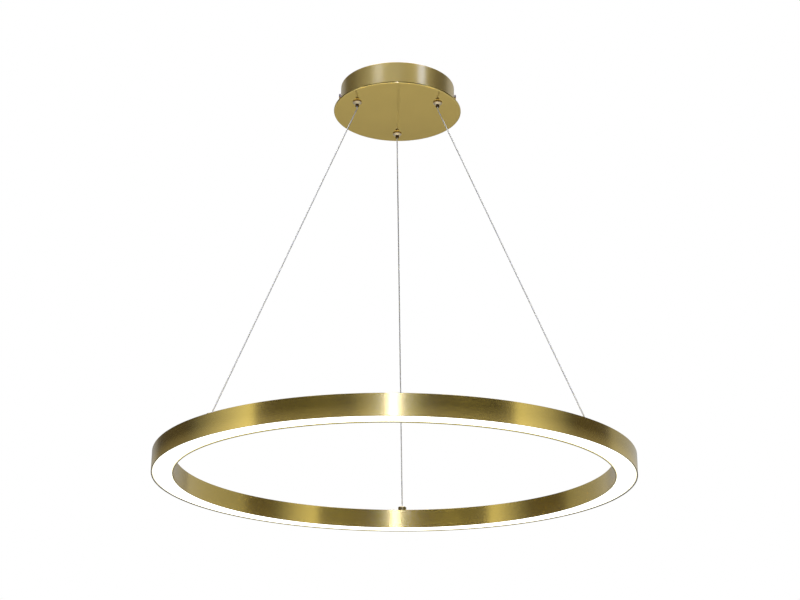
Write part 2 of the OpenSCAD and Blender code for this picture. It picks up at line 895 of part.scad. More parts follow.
// A hanging cable: a stub in the nozzle, a straight leaning stretch that ends short of the
// anchor by a cut, and a stub in the anchor. The balls at the turns are a hair larger.
module cable_line(i, r, up, cut, down) {
    g = grip_point(i);
    a = anchor_point(i);
    v = a - g;
    l = norm(v);
    ball = r + 0.05;
    translate(g)
        cylinder(h = up, r = r);
    translate(g)
        sphere(r = ball, $fn = 24);
    translate(g)
        rotate([0, acos(v[2] / l), atan2(v[1], v[0])])
            cylinder(h = l - cut, r = r);
    if (down > 0) {
        translate(a)
            sphere(r = ball, $fn = 24);
        translate(a - [0, 0, down])
            cylinder(h = down, r = r);
    }
}

module cable_core(i) {
    color([0.7, 0.7, 0.72])
        union() {
            cable_line(i, core_d / 2, cable_stub, 0, anchor_h - crimp_top - run_gap);
        }
}

module cable_core_far() {
    cable_core(0);
}

module cable_core_left() {
    cable_core(1);
}

module cable_core_right() {
    cable_core(2);
}

// Clear jacket round a core, cut back above the anchor
module cable_jacket(i) {
    color([0.85, 0.87, 0.9])
        difference() {
            cable_line(i, jacket_d / 2, cable_stub, bare_core, 0);
            cable_line(i, (core_d + thread_fit) / 2, cable_stub + 1, 0, 0);
        }
}

module cable_jacket_far() {
    cable_jacket(0);
}

module cable_jacket_left() {
    cable_jacket(1);
}

module cable_jacket_right() {
    cable_jacket(2);
}

// Ring channel: two walls, a web on top and two ledges for the diffuser
module ring_channel() {
    color([0.64, 0.54, 0.31])
        difference() {
            translate([0, 0, ring_z])
                rotate_extrude($fn = 240)
                    union() {
                        translate([ring_r - ring_wall, 0])
                            square([ring_wall, ring_h]);
                        translate([ring_in, 0])
                            square([ring_wall, ring_h]);
                        translate([ring_in, ring_h - ring_web])
                            square([ring_w, ring_web]);
                        translate([ring_r - ring_wall - ledge_w, cover_top])
                            square([ledge_w + eps, ledge_t]);
                        translate([ring_in + ring_wall - eps, cover_top])
                            square([ledge_w + eps, ledge_t]);
                    }
            for (a = ANCHORS)
                translate(polar(anchor_r, a, ring_top - ring_web - 1))
                    cylinder(h = ring_web + 2, d = stud_d + 2 * hole_fit);
        }
}

// Opal diffuser: a flat ring with two snap legs that hook over the ledges
module diffuser_ring() {
    color([0.97, 0.97, 0.94])
        translate([0, 0, ring_z])
            rotate_extrude($fn = 240)
                union() {
                    translate([ring_in + ring_wall + cover_gap, cover_recess])
                        square([ring_w - 2 * (ring_wall + cover_gap), cover_t]);
                    snap_leg();
                    translate([2 * ring_mid, 0])
                        mirror([1, 0])
                            snap_leg();
                }
}

module snap_leg() {
    r = ring_r - ring_wall - ledge_w - cover_gap;
    translate([r - leg_t, cover_top - eps])
        square([leg_t, ledge_t + hook_t + eps]);
    translate([r - leg_t, ledge_top])
        square([leg_t + cover_gap + hook_w, hook_t]);
}

// Arc of the boards between two anchors, clear of the anchors' nuts
margin = asin(board_gap / ring_mid);
ARCS = [
    [far_anchor_at + margin, left_anchor_at - margin],
    [left_anchor_at + margin, right_anchor_at - margin],
    [right_anchor_at + margin, far_anchor_at + 360 - margin]
];
board_z = ring_top - ring_web - board_t;

// Light board bonded to the underside of the web
module led_board(arc) {
    color([0.9, 0.9, 0.86])
        translate([0, 0, board_z])
            rotate([0, 0, arc[0]])
                rotate_extrude(angle = arc[1] - arc[0], $fn = 240)
                    translate([ring_mid - board_w / 2, 0])
                        square([board_w, board_t]);
}

module led_board_a() {
    led_board(ARCS[0]);
}

module led_board_b() {
    led_board(ARCS[1]);
}

module led_board_c() {
    led_board(ARCS[2]);
}

// Light chips, evenly spaced along the middle of each board
module led_chips() {
    color([0.95, 0.85, 0.4])
        for (arc = ARCS)
            let (n = floor((arc[1] - arc[0]) * ring_mid * PI / 180 / chip_pitch))
                for (k = [0:n - 1])
                    rotate([0, 0, arc[0] + (arc[1] - arc[0]) * (k + 0.5) / n])
                        translate([ring_mid - chip_w / 2, -chip_l / 2, board_z - chip_t])
                            cube([chip_w, chip_l, chip_t]);
}

// Everything at an anchor is placed on its axis, on top of the ring
module at_anchor(i) {
    translate(polar(anchor_r, ANCHORS[i], ring_top))
        rotate([0, 0, ANCHORS[i]])
            children();
}

// Anchor: a turned barrel on the ring with a hollow stud through the web
module anchor() {
    chamfer = 0.6;
    color([0.72, 0.6, 0.33])
        difference() {
            union() {
                cylinder(h = anchor_h - chamfer, d = anchor_d);
                translate([0, 0, anchor_h - chamfer])
                    cylinder(h = chamfer, d1 = anchor_d, d2 = anchor_d - 2 * chamfer);
                translate([0, 0, -stud_l])
                    cylinder(h = stud_l + eps, d = stud_d);
            }
            translate([0, 0, -stud_l - 1])
                cylinder(h = stud_l + 1 + bush_top, d = bush_d + 2 * thread_fit);
            cylinder(h = anchor_h + 1, d = jacket_d + 2 * hole_fit);
            translate([0, 0, anchor_h - 1])
                cylinder(h = 1 + eps, d1 = jacket_d + 2 * hole_fit, d2 = jacket_d + 2 * hole_fit + 2);
        }
}

module anchor_far() {
    at_anchor(0)
        anchor();
}

module anchor_left() {
    at_anchor(1)
        anchor();
}

module anchor_right() {
    at_anchor(2)
        anchor();
}

// Insulating bush that keeps the live core off the anchor
module anchor_bushes() {
    color([0.9, 0.9, 0.88])
        for (i = [0:2])
            at_anchor(i)
                difference() {
                    translate([0, 0, -stud_l])
                        cylinder(h = stud_l + bush_top, d = bush_d);
                    translate([0, 0, -stud_l - 1])
                        cylinder(h = stud_l + 1 + crimp_top, d = cable_end_d + 2 * slide_fit);
                    cylinder(h = anchor_h, d = core_d + 2 * run_gap);
                }
}

// Crimped barrel on the lower end of a cable, drawn up against the bush
module cable_end() {
    color([0.75, 0.75, 0.78])
        translate([0, 0, crimp_top - thread_fit - cable_end_l])
            cylinder(h = cable_end_l, d = cable_end_d);
}

module cable_end_far() {
    at_anchor(0)
        cable_end();
}

module cable_end_left() {
    at_anchor(1)
        cable_end();
}

module cable_end_right() {
    at_anchor(2)
        cable_end();
}

module anchor_washers() {
    color([0.8, 0.8, 0.8])
        for (i = [0:2])
            at_anchor(i)
                translate([0, 0, -ring_web - anchor_washer_t])
                    difference() {
                        cylinder(h = anchor_washer_t, d = anchor_nut_af + 3);
                        translate([0, 0, -1])
                            cylinder(h = 3, d = stud_d + 2 * hole_fit);
                    }
}

module anchor_nuts() {
    color([0.8, 0.8, 0.8])
        for (i = [0:2])
            at_anchor(i)
                translate([0, 0, -ring_web - anchor_washer_t - anchor_nut_t])
                    hex_nut(anchor_nut_af, anchor_nut_t, stud_d);
}

// Leads from the two live cable ends to the nearest boards
lead_low = -stud_l - 3;
lead_pad = board_z - ring_top - low_lead_d / 2 - thread_fit;

module ring_lead(i, side) {
    at_anchor(i)
        lead([[0, 0, crimp_top - thread_fit - cable_end_l], [0, 0, -4], [0, 0, lead_low + 2],
            [1, side * 4, lead_low], [2, side * 12, lead_low + 1], [3, side * 18, lead_pad - 1.5],
            [3, side * 24, lead_pad], [3, side * 28, lead_pad]], low_lead_d);
}

module ring_leads() {
    color([0.75, 0.2, 0.18])
        ring_lead(0, 1);
    color([0.12, 0.12, 0.13])
        ring_lead(2, -1);
}

// Jumpers that carry the current past the left and right anchors
module board_jumper(i, x) {
    at_anchor(i)
        lead([[x, -28, lead_pad], [x, -24, lead_pad], [x, -16, lead_pad - 1.5], [x, -9, lead_low],
            [x, 0, lead_low - 0.5], [x, 9, lead_low], [x, 16, lead_pad - 1.5], [x, 24, lead_pad],
            [x, 28, lead_pad]], low_lead_d);
}

module board_jumpers() {
    for (i = [1, 2]) {
        color([0.75, 0.2, 0.18])
            board_jumper(i, 8);
        color([0.12, 0.12, 0.13])
            board_jumper(i, -2);
    }
}

ceiling_bracket();
earth_stud();
earth_nut();
canopy_drum();
canopy_plate();
plate_screws();
side_screw_left();
side_screw_right();
driver_case();
driver_lid();
driver_board();
floor_screws();
terminal_block();
terminal_screws();
mains_leads();
earth_lead();
output_leads();
grip_body_far();
grip_body_left();
grip_body_right();
grip_nuts();
grip_washers();
grip_wedges();
grip_plugs();
grip_spring_far();
grip_spring_left();
grip_spring_right();
plunger_far();
plunger_left();
plunger_right();
grip_balls_far();
grip_balls_left();
grip_balls_right();
cable_tail_far();
cable_tail_left();
cable_tail_right();
tail_crimps();
cable_core_far();
cable_core_left();
cable_core_right();
cable_jacket_far();
cable_jacket_left();
cable_jacket_right();
ring_channel();
diffuser_ring();
led_board_a();
led_board_b();
led_board_c();
led_chips();
anchor_far();
anchor_left();
anchor_right();
anchor_bushes();
anchor_nuts();
anchor_washers();
cable_end_far();
cable_end_left();
cable_end_right();
ring_leads();
board_jumpers();
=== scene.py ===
import bmesh
import bpy
import numpy as np
from mathutils import Matrix


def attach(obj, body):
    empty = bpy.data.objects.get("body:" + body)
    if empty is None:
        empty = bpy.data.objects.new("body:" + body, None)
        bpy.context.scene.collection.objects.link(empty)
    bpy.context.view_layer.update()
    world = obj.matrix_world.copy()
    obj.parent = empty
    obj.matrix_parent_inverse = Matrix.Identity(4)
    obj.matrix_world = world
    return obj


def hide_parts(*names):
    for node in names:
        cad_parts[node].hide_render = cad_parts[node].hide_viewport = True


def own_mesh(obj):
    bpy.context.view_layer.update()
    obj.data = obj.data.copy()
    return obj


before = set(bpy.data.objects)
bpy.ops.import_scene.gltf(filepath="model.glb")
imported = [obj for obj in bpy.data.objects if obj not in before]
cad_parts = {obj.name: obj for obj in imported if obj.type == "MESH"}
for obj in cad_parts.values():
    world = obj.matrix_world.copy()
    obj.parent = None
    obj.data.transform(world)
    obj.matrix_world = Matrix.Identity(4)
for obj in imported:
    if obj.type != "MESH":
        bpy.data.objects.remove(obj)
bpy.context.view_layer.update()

# Camera
# Stands 2.5 m in front of the light and 1.3 m under the ceiling, and looks up at it by 20
# degrees. The near side of the ring is then the upper arc in the picture.
place = np.array([0.0, -2.4777, -1.3256])
yaw, pitch, roll = 0.0029, 0.3543, -0.0069
level = np.array([np.sin(yaw), np.cos(yaw), 0.0])
across = np.array([np.cos(yaw), -np.sin(yaw), 0.0])
ahead = level * np.cos(pitch) + np.array([0.0, 0.0, np.sin(pitch)])
above = np.array([0.0, 0.0, np.cos(pitch)]) - level * np.sin(pitch)
right = across * np.cos(roll) - above * np.sin(roll)
up = above * np.cos(roll) + across * np.sin(roll)
lens = bpy.data.cameras.new("camera")
lens.lens = 68.6
lens.sensor_width = 36.0
lens.sensor_fit = "HORIZONTAL"
camera = bpy.data.objects.new("camera", lens)
camera.matrix_world = Matrix(np.column_stack([right, up, -ahead, place]).tolist() + [[0, 0, 0, 1]])
bpy.context.scene.collection.objects.link(camera)
bpy.context.scene.camera = camera
bpy.context.scene.view_settings.view_transform = "Standard"


# Cables
# Three steel ropes of 1.2 mm, each six strands laid round a seventh, in a clear jacket of
# 2.2 mm that is cut back above the ring. They hang from the grips and enter the anchors.
class Wire:
    """One output of a shader node. Arithmetic on it adds Math nodes to its tree."""

    def __init__(self, tree, socket):
        self.tree, self.socket = tree, socket

    def other(self, output):
        """Another output of the same node."""
        return Wire(self.tree, self.socket.node.outputs[output])

    def math(self, operation, *values):
        """The result of a Math node with this wire first."""
        return self.tree.node("Math", {"operation": operation}, dict(enumerate((self, *values))))

    def __add__(self, value):
        return self.math("ADD", value)

    def __sub__(self, value):
        return self.math("SUBTRACT", value)

    def __rsub__(self, value):
        return self.tree.node("Math", {"operation": "SUBTRACT"}, {0: value, 1: self})

    def __mul__(self, value):
        return self.math("MULTIPLY", value)

    def __truediv__(self, value):
        return self.math("DIVIDE", value)

    __radd__, __rmul__ = __add__, __mul__

    def hypotenuse(self, other):
        """The root of the sum of this wire's square and another's."""
        return (self * self + other * other).math("SQRT")

    def between(self, low, high):
        """0 below low, 1 above high and a smooth rise between them."""
        return self.tree.node("MapRange", {"interpolation_type": "SMOOTHSTEP"}, {0: self, 1: low, 2: high})


class Tree:
    """A node tree that is being filled, for a material or for the world."""

    def __init__(self, node_tree):
        self.made = node_tree

    def node(self, kind, settings=None, values=None, output=0):
        """Adds a node, gives it its settings, feeds its sockets and returns one output."""
        made = self.made.nodes.new("ShaderNode" + kind)
        for key, value in (settings or {}).items():
            setattr(made, key, value)
        for key, value in (values or {}).items():
            self.feed(made.inputs[key], value)
        return Wire(self, made.outputs[output])

    def feed(self, socket, value):
        """Links a wire to a socket, or sets a plain value on it."""
        if isinstance(value, Wire):
            self.made.links.new(value.socket, socket)
        elif socket.type == "RGBA" and len(value) == 3:
            socket.default_value = (*value, 1.0)
        else:
            socket.default_value = value

    def mix(self, factor, first, second):
        """Mixes two colours."""
        return self.node("Mix", {"data_type": "RGBA"}, {0: factor, 6: first, 7: second}, 2)

    def shades(self, factor, colour, low, high):
        """Mixes a colour times one number with the colour times another."""
        return self.mix(factor, *[tuple(c * k for c in colour) for k in (low, high)])

    def noise(self, vector, scale, detail=2.0, roughness=0.5):
        """Noise about 0.5 at a vector."""
        values = {"Vector": vector, "Scale": scale, "Detail": detail, "Roughness": roughness}
        return self.node("TexNoise", {}, values)


class Finish(Tree):
    """A material: constants go on its shader's sockets, and patterns feed them."""

    def __init__(self, name, constants):
        self.material = bpy.data.materials.new(name)
        self.material.use_nodes = True
        super().__init__(self.material.node_tree)
        self.shader = self.made.nodes["Principled BSDF"]
        self.set(constants)
        self.point = self.node("TexCoord", output=3)
        self.x = self.node("SeparateXYZ", {}, {0: self.point})
        self.y, self.z = self.x.other(1), self.x.other(2)

    def set(self, values):
        """Feeds the shader's sockets."""
        for key, value in values.items():
            self.feed(self.shader.inputs[key], value)
        return self

    def bump(self, height, strength, distance):
        """Tilts the surface by a height, whose full step is a distance in metres."""
        values = {"Strength": strength, "Distance": distance, "Height": height}
        return self.set({"Normal": self.node("Bump", {}, values)})

    def stretched(self, x, y, z):
        """The place on the piece, times a number along each axis."""
        return self.node("CombineXYZ", {}, {0: self.x * x, 1: self.y * y, 2: self.z * z})

    def lathed(self, scale):
        """Lines square to the upright axis, as a lathe leaves them."""
        return self.noise(self.node("CombineXYZ", {}, {0: 0.0, 1: 0.0, 2: self.z * scale}), 1.0, 2.0)


def skin(name, grid, finish, turning=True, closed=True):
    """A mesh from a grid of points: rows follow a profile or a path and columns go round it.
    Each cell is one face. Points that coincide, as at a pole, are merged."""
    rows, columns = grid.shape[:2]
    i = np.arange(rows if closed else rows - 1)[:, None]
    k = np.arange(columns if turning else columns - 1)[None, :]
    down, side = (i + 1) % rows, (k + 1) % columns
    cells = np.stack([i * columns + k, down * columns + k, down * columns + side, i * columns + side], -1)
    mesh = bpy.data.meshes.new(name)
    mesh.vertices.add(rows * columns)
    mesh.vertices.foreach_set("co", grid.astype(np.float32).ravel())
    mesh.loops.add(cells.size)
    mesh.loops.foreach_set("vertex_index", cells.astype(np.int32).ravel())
    mesh.polygons.add(cells.size // 4)
    mesh.polygons.foreach_set("loop_start", np.arange(0, cells.size, 4, dtype=np.int32))
    mesh.update(calc_edges=True)
    mesh.materials.append(finish.material)
    piece = bpy.data.objects.new(name, mesh)
    bpy.context.scene.collection.objects.link(piece)
    return tidy(piece)


def tidy(piece, crease=35.0):
    """Merges doubled points, turns the faces outwards and shades smooth up to a crease angle."""
    work = bmesh.new()
    work.from_mesh(piece.data)
    bmesh.ops.remove_doubles(work, verts=work.verts, dist=1e-6)
    bmesh.ops.dissolve_degenerate(work, edges=work.edges, dist=1e-7)
    bmesh.ops.recalc_face_normals(work, faces=work.faces)
    work.to_mesh(piece.data)
    work.free()
    piece.data.polygons.foreach_set("use_smooth", np.ones(len(piece.data.polygons), bool))
    piece.data.set_sharp_from_angle(angle=np.radians(crease))
    return piece


def around(path, radius, columns, turn=0.0):
    """Circles round a path: each point of the path plus the radius times a pair of directions
    square to it. The radius may change along the path and round it, and the turn along it."""
    tangent = np.gradient(path, axis=0)
    tangent /= np.linalg.norm(tangent, axis=1, keepdims=True)
    first = np.cross(tangent, [0.6, 0.64, 0.48])
    first /= np.linalg.norm(first, axis=1, keepdims=True)
    second = np.cross(tangent, first)
    angle = np.arange(columns) * 2 * np.pi / columns + np.reshape(turn, (-1, 1))
    ring = np.cos(angle)[..., None] * first[:, None] + np.sin(angle)[..., None] * second[:, None]
    return path[:, None] + np.broadcast_to(radius, angle.shape)[..., None] * ring


def capped(rings):
    """Rings with the middle of the first and of the last added at the ends, which closes the
    tube when points that coincide are merged."""
    ends = [np.repeat(rings[k].mean(0)[None, None], rings.shape[1], 1) for k in (0, -1)]
    return np.concatenate([ends[0], rings, ends[1]])


ABOVE_TIP, IN_ANCHOR, CORNER = 0.006, 0.0032, 0.002


def bend(s, reach):
    """0 before a corner and s past it, with a parabola over the reach on either side."""
    return np.clip(s + reach, 0, 2 * reach) ** 2 / (4 * reach) + np.maximum(s - reach, 0)


def cable_line(tip, anchor, s):
    """Places at distances s past the grip's tip: down the nozzle, along the straight line
    to the anchor, and down into it, with both corners rounded."""
    lean = anchor - tip
    length = np.linalg.norm(lean)
    lean = lean / length
    down = np.array([0.0, 0.0, -1.0])
    past_tip, past_anchor = bend(s, CORNER), bend(s - length, CORNER)
    return tip + np.outer(s - past_tip + past_anchor, down) + np.outer(past_tip - past_anchor, lean)


def painted_pallor(finish, near):
    """Painted light on a cable: how much paler it is painted toward its lower end, and again beside the
    grip.
    """
    depth = 0.0 - finish.z
    return depth.between(0.10, 0.66) + depth.between(0.14, 0.09) * near


def stands_for(node, body, pieces):
    """Makes pieces ride on a body in place of a CAD node."""
    for piece in pieces:
        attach(piece, body)
        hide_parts(node)


TIP_Z, ANCHOR_Z, RING_TRAVEL = -0.0605, -0.6895, 0.3
CABLES = {
    "far": ((0.0, 0.083, TIP_Z), (0.01513, 0.37670, ANCHOR_Z)),
    "left": ((-0.07188, -0.0415, TIP_Z), (-0.27751, -0.25518, ANCHOR_Z)),
    "right": ((0.07188, -0.0415, TIP_Z), (0.29006, -0.24082, ANCHOR_Z)),
}
steel_rope = Finish("steel_rope", {"Metallic": 1.0})
grime = steel_rope.noise(steel_rope.point, 900.0, 3.0)
# Grime mixed with painted light: the rope is painted paler toward its lower end and beside the grip.
noise_and_painted_light = grime * 0.4 + painted_pallor(steel_rope, 1.2) * 0.6
steel_rope.set({
    "Base Color": steel_rope.mix(noise_and_painted_light, (0.30, 0.30, 0.29), (0.62, 0.62, 0.61)),
    "Roughness": 0.38 + grime * 0.20,
}).bump(grime, 0.15, 0.00005)
clear_jacket = Finish("clear_jacket", {"Transmission Weight": 0.30, "IOR": 1.46})
haze = clear_jacket.noise(clear_jacket.stretched(1.0, 1.0, 0.12), 700.0, 2.0)
# Haze mixed with painted light: the jacket is painted paler toward its lower end and beside the grip.
noise_and_painted_light = haze * 0.3 + painted_pallor(clear_jacket, 1.0) * 0.7
clear_jacket.set({
    "Base Color": clear_jacket.mix(noise_and_painted_light, (0.55, 0.55, 0.52), (0.93, 0.93, 0.90)),
    "Roughness": 0.22 + haze * 0.16,
}).bump(haze, 0.08, 0.0001)
STRAND_CIRCLE, STRAND_RADIUS, LAY, ROPE_COLUMNS = 0.0004, 0.0002, 0.009, 30
JACKET_OUTER, JACKET_INNER, JACKET_CUT, JACKET_COLUMNS = 0.0011, 0.00064, 0.006, 24
angle = np.arange(ROPE_COLUMNS) * 2 * np.pi / ROPE_COLUMNS
lobe = (angle + np.pi / 6) % (np.pi / 3) - np.pi / 6
off_strand = STRAND_CIRCLE * np.sin(lobe)
strands = STRAND_CIRCLE * np.cos(lobe) + np.sqrt(np.maximum(STRAND_RADIUS**2 - off_strand**2, 0))
for side, (tip, anchor) in CABLES.items():
    tip, anchor = np.array(tip), np.array(anchor)
    length = np.linalg.norm(anchor - tip)
    marks = np.concatenate([
        [-ABOVE_TIP, -0.004], np.linspace(-CORNER, CORNER, 5), np.linspace(0.02, length - 0.02, 18),
        np.linspace(length - CORNER, length + CORNER, 5), [length + IN_ANCHOR]])
    s = np.linspace(-ABOVE_TIP, length + IN_ANCHOR, 1000)
    route = cable_line(tip, anchor, s)
    rope = around(route, np.tile(strands, (len(s), 1)), ROPE_COLUMNS, s * 2 * np.pi / LAY)
    core = skin("rope_" + side, capped(rope), steel_rope, closed=False)
    route = cable_line(tip, anchor, np.concatenate([marks[:7], np.linspace(0.01, length - JACKET_CUT, 60)]))
    wall = np.concatenate([around(route, JACKET_OUTER, JACKET_COLUMNS),
                           around(route, JACKET_INNER, JACKET_COLUMNS)[::-1]])
    jacket = skin("jacket_" + side, wall, clear_jacket)
    stands_for("cable_core_" + side, "cable_" + side, [core])
    stands_for("cable_jacket_" + side, "cable_" + side, [jacket])
    for piece in (core, jacket):
        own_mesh(piece)


# Ceiling bracket
# A pressed steel strip with a galvanised skin, slotted for the ceiling screws, with two ears
# bent down that take the side screws of the rose.
def galvanised(name, colour, spread, roughness):
    """A coated or plain metal: flat grains that differ slightly, with a fine cloud over them."""
    finish = Finish(name, {"Metallic": 1.0})
    grain = finish.node("TexVoronoi", {}, {"Vector": finish.point, "Scale": 220.0}, 1)
    grain = finish.node("SeparateColor", {}, {0: grain})
    cloud = finish.noise(finish.point, 90.0, 4.0)
    tone = finish.shades(grain * 0.6 + cloud * 0.4, colour, 1 - spread, 1 + spread)
    finish.set({"Base Color": tone, "Roughness": roughness + cloud * 0.16})
    return finish.bump(cloud, 0.12, 0.0002)


def dress(names, finish):
    """Gives CAD nodes a finish."""
    for name in names:
        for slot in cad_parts[name].material_slots:
            slot.link = "DATA"
            slot.material = finish.material


zinc = galvanised("zinc_on_steel", (0.55, 0.56, 0.58), 0.18, 0.30)
dress(["ceiling_bracket", "plate_screws", "floor_screws", "grip_washers", "grip_nuts", "anchor_washers",
       "anchor_nuts"], zinc)

# Earth stud and nut
# A brass stud pressed into the strip from above, with a hexagon nut of the same brass. The nut
# clamps the ring tag of the earth lead, and the terminal block's screws are of this brass too.
terminal_brass = galvanised("terminal_brass", (0.62, 0.46, 0.20), 0.10, 0.26)
dress(["earth_stud", "earth_nut", "terminal_screws"], terminal_brass)


# Drum of the rose
# Spun brass, 206 mm across and 45 mm deep, brushed along its circumference and lacquered.
# Side screws hold it to the bracket, and its floor carries the driver.
def brushed(name, colour, roughness, streak, lacquer, pull, coat):
    """Brass brushed round an upright axis: long thin streaks that follow the turn, on walls by
    height and on flats by radius, over a slow change of tone. The coat of lacquer has its own
    roughness and index, and the pull stretches highlights across the streaks."""
    finish = Finish(name, {"Metallic": 1.0, "Anisotropic": pull, "Anisotropic Rotation": 0.25,
                           "Coat Weight": 1.0, "Coat Roughness": coat, "Coat IOR": lacquer})
    height = finish.z + finish.x.hypotenuse(finish.y)
    fine, wide = [
        finish.node("CombineXYZ", {}, {0: finish.x * along, 1: finish.y * along, 2: height * over})
        for along, over in ((22.0, 2600.0), (9.0, 500.0))]
    streaks, broad = finish.noise(fine, 1.0, 3.0, 0.6), finish.noise(wide, 1.0, 2.0)
    tarnish = finish.noise(finish.point, 14.0, 4.0, 0.6)
    tone = streaks * 0.5 + broad * 0.3 + tarnish * 0.2
    finish.tone = finish.shades(tone, colour, 1 - streak, 1 + streak)
    finish.set({"Base Color": finish.tone, "Roughness": roughness + streaks * 0.10 + tarnish * 0.05})
    return finish.bump(streaks * 0.7 + broad * 0.3, 0.05, 0.0001)


def rounded(outline, radius, steps=3):
    """A closed outline with its corners rounded by small parabolas. A curve reaches along both
    sides of its corner by the radius, or by 0.3 of the shorter side where that is less. A point
    half as far again past each end of a curve keeps the flats between the corners flat."""
    corner = np.array(outline, float)
    before, after = np.roll(corner, 1, 0) - corner, np.roll(corner, -1, 0) - corner
    shorter = np.minimum(*(np.linalg.norm(v, axis=1) for v in (before, after)))
    reach = np.minimum(radius, 0.3 * shorter)[:, None]
    before = before / np.linalg.norm(before, axis=1, keepdims=True) * reach
    after = after / np.linalg.norm(after, axis=1, keepdims=True) * reach
    t = np.linspace(0, 1, steps + 1)[None, :, None]
    curve = corner[:, None] + (1 - t) ** 2 * before[:, None] + t**2 * after[:, None]
    first, last = [(corner + 1.5 * side)[:, None] for side in (before, after)]
    return np.concatenate([first, curve, last], 1).reshape(-1, 2)


MM = 0.001


def turned(name, outline, finish, centre=(0.0, 0.0), columns=720):
    """An outline of radius and height in millimetres, turned about an upright axis: a point
    becomes the circle of its radius at its height. Points on the axis become poles."""
    r, z = np.asarray(outline, float).T * MM
    angle = np.arange(columns) * 2 * np.pi / columns
    x, y = [c * MM + np.outer(r, way) for c, way in zip(centre, (np.cos(angle), np.sin(angle)))]
    return skin(name, np.stack([x, y, np.repeat(z[:, None], columns, 1)], -1), finish)


def drilled(piece, holes):
    """Cuts round holes. A hole is its middle, its axis, its diameter and its depth in millimetres."""
    work = bmesh.new()
    for middle, axis, diameter, depth in holes:
        turn = Matrix.Rotation(np.pi / 2, 4, "Y") if axis == "X" else Matrix()
        bmesh.ops.create_cone(work, cap_ends=True, segments=48, radius1=diameter / 2 * MM,
                              radius2=diameter / 2 * MM, depth=depth * MM,
                              matrix=Matrix.Translation([c * MM for c in middle]) @ turn)
    cutter = bpy.data.objects.new("cutter", bpy.data.meshes.new("cutter"))
    work.to_mesh(cutter.data)
    work.free()
    cut = piece.modifiers.new("cut", "BOOLEAN")
    cut.operation, cut.solver, cut.object = "DIFFERENCE", "EXACT", cutter
    bpy.context.scene.collection.objects.link(cutter)
    shape = bpy.data.meshes.new_from_object(piece.evaluated_get(bpy.context.evaluated_depsgraph_get()))
    piece.modifiers.clear()
    old, piece.data = piece.data, shape
    bpy.data.meshes.remove(old)
    bpy.data.objects.remove(cutter)
    return tidy(piece, 30.0)


def upright(places, height, diameter, depth):
    """Upright holes of one size at several places, with their middles at one height."""
    return [((x, y, height), "Z", diameter, depth) for x, y in places]


GRIP_AXES, ANCHOR_AXES = [[(x / MM, y / MM) for x, y, z in ends] for ends in zip(*CABLES.values())]
PLATE_SCREWS = [(63.64 * a, 63.64 * b) for a in (-1, 1) for b in (-1, 1)]
FLOOR_SCREWS = [(-80.0, 8.0), (80.0, 8.0), (-35.0, 52.0)]
SCREWS = PLATE_SCREWS + FLOOR_SCREWS
GRIP_HOLE, SCREW_HOLE, THREAD_HOLE, SIDE_HOLE = 10.4, 3.4, 3.1, 4.6
AXIS, DRUM_OUTER, DRUM_INNER, DRUM_LOW, DRUM_FLOOR, SIDE_SCREW_Z = 0.001, 103, 101.8, -45, -43.8, -14
brushed_brass = brushed("brushed_brass", (0.80, 0.59, 0.13), 0.30, 0.10, 3.0, 0.3, 0.25)
drum_outline = [(AXIS, DRUM_LOW), (DRUM_OUTER, DRUM_LOW), (DRUM_OUTER, 0), (DRUM_INNER, 0),
                (DRUM_INNER, DRUM_FLOOR), (AXIS, DRUM_FLOOR)]
drum = turned("drum", rounded(drum_outline, 0.35), brushed_brass)
floor_middle, wall_middle = (DRUM_LOW + DRUM_FLOOR) / 2, (DRUM_OUTER + DRUM_INNER) / 2
drum = drilled(drum, upright(GRIP_AXES, floor_middle, GRIP_HOLE, 6)
               + upright(SCREWS, floor_middle, SCREW_HOLE, 6)
               + [((side * wall_middle, 0, SIDE_SCREW_Z), "X", SIDE_HOLE, 8) for side in (-1, 1)])
stands_for("canopy_drum", "canopy", [drum])


# Plate of the rose
# A brass disc, 230 mm across, polished to a mirror, with a rounded lower edge. Four screws
# hold it under the drum, and the three cable grips pass through both.
def polished(name, colour, roughness, swirl):
    """Polished brass: a mirror with faint turned lines, wipe marks and a slow change of tone."""
    finish = Finish(name, {"Metallic": 1.0})
    lines = finish.lathed(3000.0)
    wipes = finish.noise(finish.stretched(1.0, 0.35, 1.0), 60.0, 4.0, 0.55)
    tarnish = finish.noise(finish.point, 18.0, 3.0)
    finish.tone = finish.shades(tarnish * 0.6 + wipes * 0.4, colour, 0.92, 1.07)
    finish.set({"Base Color": finish.tone, "Roughness": roughness + wipes * 0.05 + lines * 0.03})
    return finish.bump(lines * 0.5 + wipes * 0.5, swirl, 0.0001)


polished_brass = polished("polished_brass", (0.93, 0.695, 0.197), 0.08, 0.02)
# Painted shade on the rounded lower edge: a duller colour that dims the line of reflection along it.
painted_edge_shade = polished_brass.x.hypotenuse(polished_brass.y).between(0.1132, 0.1140)
polished_brass.set({"Base Color": polished_brass.mix(painted_edge_shade, polished_brass.tone, (0.86, 0.68, 0.24))})
PLATE_RADIUS, PLATE_LOW, PLATE_TOP, EDGE = 115, -47.5, DRUM_LOW, 1.6
edge = [(PLATE_RADIUS - EDGE + EDGE * np.sin(a), PLATE_LOW + EDGE - EDGE * np.cos(a))
        for a in np.radians(np.arange(0, 91, 9))]
plate_outline = [(AXIS, PLATE_LOW), (60, PLATE_LOW), (113.2, PLATE_LOW), *edge,
                 (PLATE_RADIUS, PLATE_TOP), (AXIS, PLATE_TOP)]
plate = turned("plate", plate_outline, polished_brass)
plate = drilled(plate, upright(GRIP_AXES, (PLATE_LOW + PLATE_TOP) / 2, GRIP_HOLE, 6)
                + upright(SCREWS, PLATE_TOP - 0.7, THREAD_HOLE, 2))
stands_for("canopy_plate", "canopy", [plate])

